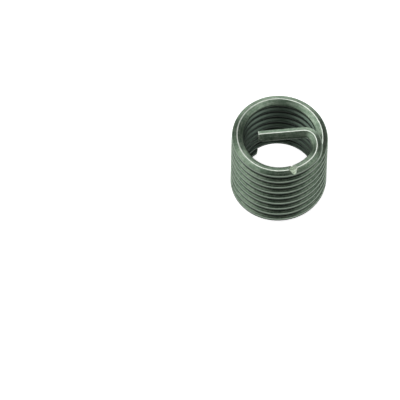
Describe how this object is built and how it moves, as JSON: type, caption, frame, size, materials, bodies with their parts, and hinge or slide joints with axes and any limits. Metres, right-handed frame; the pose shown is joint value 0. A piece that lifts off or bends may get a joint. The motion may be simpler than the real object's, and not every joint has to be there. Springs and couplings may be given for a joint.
{
  "type": "helical thread insert",
  "caption": "Wire thread insert: a right-hand coil of diamond-section wire, with a notch and a drive tang across one end.",
  "frame": {"origin": "on the axis of the coil, level with the lowest point of the free end", "axes": "+Z along the axis of the coil, from the free end to the tang; the hook leaves the coil on the +X, -Y side"},
  "size_m": [0.0102, 0.0103, 0.0111],
  "materials": {
    "wire": "cold-drawn stainless wire, slightly dull, with brighter rubbed edges"
  },
  "bodies": {
    "root": {"wire_insert": "wire"}
  },
  "joints": []
}
